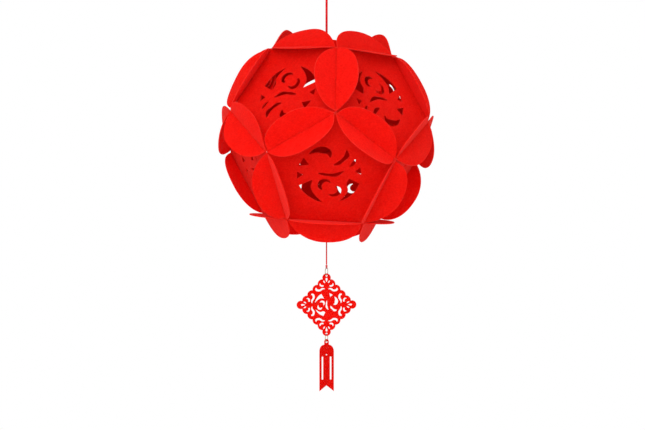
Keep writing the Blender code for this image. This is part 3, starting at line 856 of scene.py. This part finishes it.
def panel_bend(curls, dome):
    """How a panel bends: each flap curls beyond its edge, and the middle domes."""
    inradius = PENTAGON_INRADIUS * EDGE

    def bend(x, y):
        angle = np.arctan2(x, -y)
        sector = np.mod(np.round(angle / STEP), 5).astype(int)
        outward = sector * STEP
        n = x * np.sin(outward) - y * np.cos(outward) - inradius
        u = x * np.cos(outward) + y * np.sin(outward)
        rise, lean = np.array(curls)[sector].T
        over = np.clip(n / FLAP_HEIGHT, 0, 1.2)
        curl = over**CURL_POWER * (rise + lean * np.clip(u / (EDGE / 2), -1, 1))
        inside = np.ones_like(x)
        for k in range(5):
            inside *= np.clip(1 - (x * math.sin(STEP * k) - y * math.cos(STEP * k)) / inradius, 0, None)
        return curl + dome * inside

    return bend


def make_ball(felt):
    ball = Matrix.Translation((0, 0, BALL_Z)) @ Matrix.Rotation(TILT, 4, "Y")
    loops = panel_loops()
    cut = cut_sheet(loops, PANEL_MESH)
    places = panel_places()
    chance = np.random.default_rng(SEED)
    for name, matrix in places.items():
        sag = -FLAP_SAG * (matrix.to_3x3() @ Vector((0, 0, 1))).z
        curls = np.stack([chance.normal(sag, TIP_SPREAD, 5), chance.normal(0, BLUNT_SPREAD, 5)], 1)
        for k in range(5):
            curls[k] = FLAP_SET.get((name, k), curls[k])
        dome = 0.0 if name in ("panel_top", "panel_bottom") else float(chance.normal(DOME, DOME_SPREAD))
        piece = bent_sheet(f"{name}_felt", cut, ball @ matrix, felt, panel_bend(curls, dome))
        finish_sheet(piece, name, "ball")
    washer = washer_loops()
    washer_cut = cut_sheet(washer, WASHER_MESH)
    for name, side in (("upper_washer", 1), ("lower_washer", -1)):
        away = FACE_DISTANCE * EDGE - FELT - GAP
        matrix = Matrix.Translation((0, 0, on_axis(side * away))) @ Matrix.Rotation(TILT, 4, "Y")
        piece = bent_sheet(f"{name}_felt", washer_cut, matrix, felt)
        finish_sheet(piece, name, "ball")


# Cords and knots


def across_directions(path):
    """Two directions across a path at each of its points, carried along without twist."""
    tangent = np.gradient(path, axis=0)
    tangent /= np.linalg.norm(tangent, axis=1)[:, None]
    first = np.cross(tangent[0], (0, 1, 0.01))
    across = [first / np.linalg.norm(first)]
    for t in tangent[1:]:
        a = across[-1] - t * (across[-1] @ t)
        across.append(a / np.linalg.norm(a))
    across = np.array(across)
    return across, np.cross(tangent, across)


def tube(path, radius, sides):
    """Vertices and faces of a tube with closed, tapered ends."""
    a, b = across_directions(path)
    size = np.full(len(path), radius)
    size[[0, -1]] *= END_TAPER
    turn = np.linspace(0, 2 * math.pi, sides, endpoint=False)
    ring = a[:, None] * np.cos(turn)[None, :, None] + b[:, None] * np.sin(turn)[None, :, None]
    verts = (path[:, None] + ring * size[:, None, None]).reshape(-1, 3)
    faces = []
    last = (len(path) - 1) * sides
    for start in range(0, last, sides):
        for k in range(sides):
            p, q = start + k, start + (k + 1) % sides
            faces.append((p, q, q + sides, p + sides))
    faces.append(tuple(range(sides))[::-1])
    faces.append(tuple(last + k for k in range(sides)))
    return verts, faces


def mesh_of(name, parts, material):
    """One object from the vertices and faces of its parts."""
    verts, faces = [], []
    for v, f in parts:
        faces += [tuple(i + len(verts) for i in face) for face in f]
        verts += v.tolist()
    mesh = bpy.data.meshes.new(name)
    mesh.from_pydata(verts, [], faces)
    mesh.shade_smooth()
    mesh.materials.append(material)
    return add(name, mesh)


def distances(path):
    """How far along the path each of its points is."""
    return np.concatenate([[0], np.cumsum(np.linalg.norm(np.diff(path, axis=0), axis=1))])


def spaced(path, step):
    """The same path with points this far apart."""
    path = np.array(path, float)
    far = distances(path)
    at = np.linspace(0, far[-1], max(round(far[-1] / step), 2) + 1)
    return np.stack([np.interp(at, far, column) for column in path.T], 1)


def strands(path, radius, pitch):
    """The parts of a cord of twisted strands along a path."""
    radius *= CORD_FULLNESS
    path = spaced(path, 0.4 * radius)
    a, b = across_directions(path)
    far = distances(path)
    strand = STRAND_SHARE * radius
    parts = []
    for i in range(STRANDS):
        turn = 2 * math.pi * (far / pitch + i / STRANDS)
        centre = path + (a * np.cos(turn)[:, None] + b * np.sin(turn)[:, None]) * (radius - strand)
        parts.append(tube(centre, strand, STRAND_SIDES))
    return parts


def knot_parts(z, radius):
    """A tight knot on the axis: a cord wound into a ball of this radius, with leaning wraps."""
    thickness = KNOT_CORD_SHARE * radius
    polar = np.linspace(KNOT_POLE, math.pi - KNOT_POLE, 160)
    wrap = 2 * KNOT_TURNS * polar
    ball = np.stack([np.sin(polar) * np.cos(wrap), np.sin(polar) * np.sin(wrap), np.cos(polar)], 1)
    c, s = math.cos(KNOT_LEAN), math.sin(KNOT_LEAN)
    lean = np.array([[c, 0, s], [0, 1, 0], [-s, 0, c]])
    path = (radius - thickness * CORD_FULLNESS) * ball @ lean + (0, 0, z)
    return strands(path, thickness, KNOT_PITCH * thickness)


def finish_cord(obj, node, body):
    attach(obj, body)
    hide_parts(node)


def make_hanging_cord(cord):
    """The loop and its knot, and the cord that hangs the ball on a knot below the top panel's washer."""
    t = np.linspace(0, 2 * math.pi, 180)
    bottom = LOOP_KNOT_Z + LOOP_KNOT_RADIUS
    tall = CORD_RADIUS - bottom
    loop_line = np.stack([
        LOOP_WIDTH * np.sin(t) * np.abs(np.sin(t / 2)) ** 1.5 + LEG_X * np.cos(t / 2),
        np.zeros_like(t),
        bottom + tall * (1 - np.cos(t)) / 2,
    ], 1)
    loop = mesh_of("hanging_loop_cord", strands(loop_line, CORD_RADIUS, CORD_PITCH), cord)
    finish_cord(loop, "hanging_loop", "loop")
    knot = mesh_of("loop_knot_cord", knot_parts(LOOP_KNOT_Z, LOOP_KNOT_RADIUS), cord)
    finish_cord(knot, "loop_knot", "loop_knot")
    stop_z = on_axis(FACE_DISTANCE * EDGE - 1.5 * FELT - 2 * GAP - STOP_KNOT_RADIUS)
    high = LOOP_KNOT_Z - LOOP_KNOT_RADIUS - CORD_END_GAP
    line = [(0, 0, z) for z in np.linspace(stop_z, high, 40)]
    hang = mesh_of("hanging_cord_cord", strands(line, CORD_RADIUS, CORD_PITCH), cord)
    finish_cord(hang, "hanging_cord", "hanging_cord")
    stop = mesh_of("upper_stop_knot_cord", knot_parts(stop_z, STOP_KNOT_RADIUS), cord)
    finish_cord(stop, "upper_stop_knot", "hanging_cord")


def make_string(cord):
    """The knot inside the ball and its neck through the bottom panel, the string, and its ring knot."""
    knot_z = on_axis(-(FACE_DISTANCE * EDGE - 1.5 * FELT - 2 * GAP - STRING_KNOT_RADIUS))
    pivot = on_axis(-(FACE_DISTANCE * EDGE + FELT / 2)) - 2 * STRING_RADIUS + GAP / 2
    neck = [(0, 0, z) for z in np.linspace(knot_z, pivot - STRING_RADIUS, 12)]
    parts = knot_parts(knot_z, STRING_KNOT_RADIUS) + strands(neck, STRING_RADIUS, STRING_PITCH)
    finish_cord(mesh_of("lower_stop_knot_cord", parts, cord), "lower_stop_knot", "string_knot")
    ring_knot_z = UPPER_RING_Z + RING_RADIUS + WIRE_RADIUS + GAP + RING_KNOT_RADIUS
    low = ring_knot_z + RING_KNOT_RADIUS + CORD_END_GAP
    line = [(0, 0, z) for z in np.linspace(pivot, low, 40)]
    string = mesh_of("pendant_cord_cord", strands(line, STRING_RADIUS, STRING_PITCH), cord)
    finish_cord(string, "pendant_cord", "pendant_cord")
    top_z = UPPER_RING_Z + RING_RADIUS
    across = np.array([-math.sin(RING_TURN), math.cos(RING_TURN), 0])
    bight = []
    for a in np.linspace(math.radians(65), math.radians(-245), 60):
        bight.append(across * BIGHT_RADIUS * math.cos(a) + (0, 0, top_z + BIGHT_RADIUS * math.sin(a)))
    parts = knot_parts(ring_knot_z, RING_KNOT_RADIUS) + strands(bight, BIGHT_CORD_RADIUS, BIGHT_PITCH)
    ring_knot = mesh_of("ring_knot_cord", parts, cord)
    finish_cord(ring_knot, "ring_knot", "upper_ring")


# Rings, pendant and tag


def make_rings(gold):
    start, end = math.radians(RING_SPLIT_AT), math.radians(RING_SPLIT_AT + 360)
    t = np.linspace(start + RING_SPLIT, end - RING_SPLIT, 120)
    spread = RING_SIDESTEP * np.linspace(-1, 1, len(t))
    c, s = math.cos(RING_TURN), math.sin(RING_TURN)
    turn = np.array([[c, s, 0], [-s, c, 0], [0, 0, 1]])
    ring_line = np.stack([RING_RADIUS * np.cos(t), spread, RING_RADIUS * np.sin(t)], 1) @ turn
    for name, z in (("upper_ring", UPPER_RING_Z), ("lower_ring", LOWER_RING_Z)):
        parts = [tube(ring_line + (0, 0, z), RING_WIRE_RADIUS, RING_WIRE_SIDES)]
        ring = mesh_of(f"{name}_wire", parts, gold)
        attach(ring, name)
        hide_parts(name)


def make_pendant(felt):
    loops = pendant_loops()
    upright = Matrix.Translation((0, 0, PENDANT_Z)) @ Matrix.Rotation(math.pi / 2, 4, "X")

    def bend(x, y):
        """A slight wave and twist, with none on the upright line through the two ring holes."""
        wave = np.sin(x * PENDANT_WAVE_RATE + PENDANT_WAVE_START) - math.sin(PENDANT_WAVE_START)
        return PENDANT_WAVE * wave - PENDANT_TWIST * x * y

    cut = cut_sheet(loops, PENDANT_MESH, PENDANT_SOFT_EDGE)
    pendant = bent_sheet("pendant_felt", cut, upright, felt, bend, PENDANT_PAINTED_SHADE)
    finish_sheet(pendant, "pendant", "pendant")


def make_tag(felt):
    loops = tag_loops()
    upright = Matrix.Translation((0, 0, TAG_TOP_Z)) @ Matrix.Rotation(math.pi / 2, 4, "X")
    lean = math.tan(TAG_FOLD)

    def bend(x, y):
        """A crease down the middle that comes in smoothly below the tab."""
        share = np.clip((-y - TAB_LENGTH) / SHOULDER_HEIGHT, 0, 1)
        share = share * share * (3 - 2 * share)
        return (np.sqrt(x * x + CREASE_SIZE**2) - TAG_HALF_WIDTH / 2) * lean * share

    cut = cut_sheet(loops, TAG_MESH, TAG_SOFT_EDGE)
    tag = bent_sheet("tag_felt", cut, upright, felt, bend, TAG_PAINTED_SHADE)
    finish_sheet(tag, "tag", "tag")


def make_stage():
    n = FLOOR_SIDES
    angles = np.linspace(0, 2 * math.pi, n, endpoint=False)
    verts = [(0, 0, 0)] + [(r * math.cos(a), r * math.sin(a), 0) for r in FLOOR_RADII for a in angles]
    faces = [(0, 1 + i, 1 + (i + 1) % n) for i in range(n)]
    for k in range(len(FLOOR_RADII) - 1):
        for i in range(n):
            p, q = 1 + k * n + i, 1 + k * n + (i + 1) % n
            faces.append((p, p + n, q + n, q))
    mesh = bpy.data.meshes.new("floor")
    mesh.from_pydata(verts, [], faces)
    mesh.materials.append(stage_material())
    floor = add("floor", mesh)
    floor.location.z = FLOOR_Z


make_camera()
make_world()
make_key()
cord = cord_material()
make_hanging_cord(cord)
make_string(cord)
felt = felt_material()
make_ball(felt)
make_rings(gold_material())
make_pendant(felt)
make_tag(felt)
make_stage()

bpy.context.view_layer.update()
